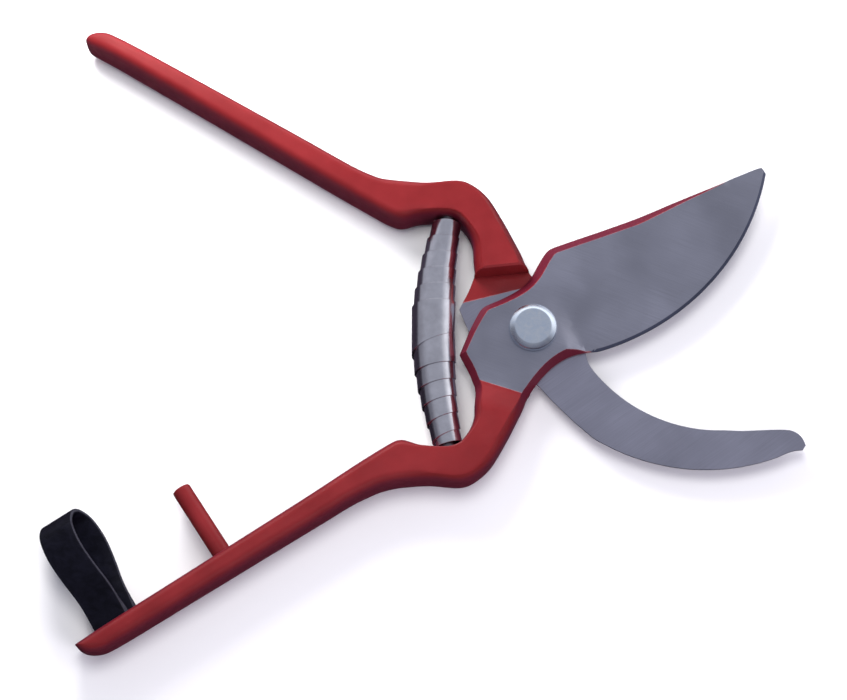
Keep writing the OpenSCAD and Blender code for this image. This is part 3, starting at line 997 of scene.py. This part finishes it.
def main():
    enamel = red_enamel()
    plate_steel = ground_steel("ground_steel", math.radians(-20))
    hook_steel = ground_steel("hook_steel", math.radians(35), (0.42, 0.42, 0.485))
    # Painted dark reflection: the honed bevel's tint is far darker and bluer than steel, standing in for the
    # dark surroundings it reflects.
    honed_painted_dark = ground_steel("honed_edge_painted_dark", math.radians(25), (0.13, 0.14, 0.19))
    zinc, chrome, dark = zinc_plate(), spring_steel(), dark_steel()

    blade = Forging(node_outline("blade_forging", (6.6, 9.3)), blade_bare, True)

    def blade_paint(p, where):
        past_ramp, past_paint = painted_zones(p)
        past_rim = p[:, 0] > RIM_END_X
        ground = ~past_ramp & (~blade.on_rim(p) | past_rim)
        bare = {"top": ground, "bottom": ~past_paint, "wall": blade_bare(p)}[where]
        from_edge = EDGE_R - np.linalg.norm(p - EDGE_CENTRE, axis=1)
        sharpened = (from_edge < SHARP_W) & (p[:, 0] > EDGE_START_X) & bare
        return np.where(sharpened, HONED, np.where(bare, STEEL, ENAMEL))

    mesh = forging_mesh("blade_forging_shape", blade, False, blade_paint)
    piece = add_object("blade_forging_shape", mesh, "blade_half", enamel, plate_steel, honed_painted_dark)
    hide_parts("blade_forging")

    outline = node_outline("hook_forging", (6.4, 3.7))[::-1] * [1, -1]
    hook = Forging(outline, hook_bare, False)

    def hook_paint(p, where):
        past_ramp, past_paint = painted_zones(p)
        on_hook = (p[:, 0] > HOOK_START[0]) & (p[:, 1] > HOOK_START[1])
        ground = ~past_ramp & (~hook.on_rim(p) | on_hook)
        bare = {"top": ground, "bottom": ~past_paint, "wall": on_hook}[where]
        return np.where(bare, STEEL, ENAMEL)

    mesh = forging_mesh("hook_forging_shape", hook, True, hook_paint)
    piece = add_object("hook_forging_shape", mesh, "hook_half", enamel, hook_steel)
    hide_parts("hook_forging")

    for name, mesh, material in (("pivot_bolt", pivot_bolt_mesh(), zinc),
                                 ("pivot_nut", hex_nut_mesh(), zinc),
                                 ("stop_peg", stop_peg_mesh(), enamel)):
        piece = add_object(name + "_shape", mesh, "blade_half", material)
        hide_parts(name)
    for name, material in (("lock_washer", zinc), ("spring_stud_lower", dark), ("spring_stud_upper", dark),
                           ("strap_pin", dark)):
        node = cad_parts[name]
        node.data.materials.clear()
        node.data.materials.append(material)

    mesh, share = volute_spring_mesh()
    spring = add_object("volute_spring_shape", mesh, None, chrome)
    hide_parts("volute_spring")
    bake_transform(spring)

    strap = add_object("strap_loop_shape", strap_mesh(), None, black_leather(), leather_edge())
    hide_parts("strap_loop")
    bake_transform(strap)


def studio_surround():
    """A dim ceiling, a bright wall beyond the object and a dark one on the near side."""
    world = bpy.data.worlds.new("world")
    world.use_nodes = True
    bpy.context.scene.world = world
    tree = world.node_tree
    place = tree.nodes.new("ShaderNodeTexCoord").outputs["Generated"]

    def ramp_along(direction, stops):
        dot = tree.nodes.new("ShaderNodeVectorMath")
        dot.operation = "DOT_PRODUCT"
        tree.links.new(place, dot.inputs[0])
        dot.inputs[1].default_value = direction
        spread = tree.nodes.new("ShaderNodeMapRange")
        tree.links.new(dot.outputs["Value"], spread.inputs["Value"])
        spread.inputs["From Min"].default_value = -1
        ramp = tree.nodes.new("ShaderNodeValToRGB")
        tree.links.new(spread.outputs["Result"], ramp.inputs["Fac"])
        elements = ramp.color_ramp.elements
        elements.remove(elements[1])
        elements[0].position = (stops[0][0] + 1) / 2
        elements[0].color = (*stops[0][1], 1)
        for at, colour in stops[1:]:
            elements.new((at + 1) / 2).color = (*colour, 1)
        return ramp.outputs["Color"]

    wall = ramp_along((0.3, 0.95, 0), [(-0.6, (0.10, 0.09, 0.12)), (-0.12, (0.16, 0.16, 0.20)),
                                       (0.25, (0.50, 0.51, 0.60)), (0.8, (1.2, 1.2, 1.3))])
    ceiling = ramp_along((0, 0, 1), [(0.36, (0, 0, 0)), (0.76, (1, 1, 1))])
    above = ramp_along((0, 0, 1), [(-0.12, (0.13, 0.10, 0.13)), (0.05, (1, 1, 1))])

    room = mixed(tree, "MIX", ceiling, wall, (0.36, 0.37, 0.44))
    tree.links.new(mixed(tree, "MULTIPLY", 1.0, room, above), tree.nodes["Background"].inputs["Color"])


def stage():
    """A pale floor, soft lamps above, at the upper left and below the object, and the camera."""
    bpy.ops.mesh.primitive_plane_add(size=4)
    floor = bpy.context.object
    floor.name = "floor"
    floor.data.materials.append(pale_floor())
    floor.visible_glossy = False

    def soft_light(name, at, size, power, colour):
        lamp = bpy.data.lights.new(name, "AREA")
        lamp.shape = "DISK"
        lamp.size, lamp.energy, lamp.color = size, power, colour
        holder = bpy.data.objects.new(name, lamp)
        holder.location = at
        holder.rotation_euler = (-Vector(at)).to_track_quat("-Z", "Y").to_euler()
        holder.visible_glossy = False
        holder.visible_camera = False
        bpy.context.scene.collection.objects.link(holder)

    soft_light("key", (-0.06, 0.09, 0.60), 0.30, 1.65, (1, 0.99, 0.98))
    soft_light("near", (-0.12, 0.18, 0.13), 0.14, 0.85, (1, 0.98, 0.97))
    soft_light("fill", (0.12, -0.26, 0.20), 0.25, 0.55, (0.95, 0.88, 1))
    studio_surround()

    target = Vector((-0.0302, -0.0031, 0))
    tilt, reach = math.radians(17), 0.650
    camera = bpy.data.objects.new("camera", bpy.data.cameras.new("camera"))
    camera.data.lens = 98.7
    camera.location = target + Vector((0, -math.sin(tilt), math.cos(tilt))) * reach
    camera.rotation_euler = (tilt, 0, 0)
    bpy.context.scene.collection.objects.link(camera)
    bpy.context.scene.camera = camera
    bpy.context.scene.view_settings.view_transform = "Standard"


main()
stage()
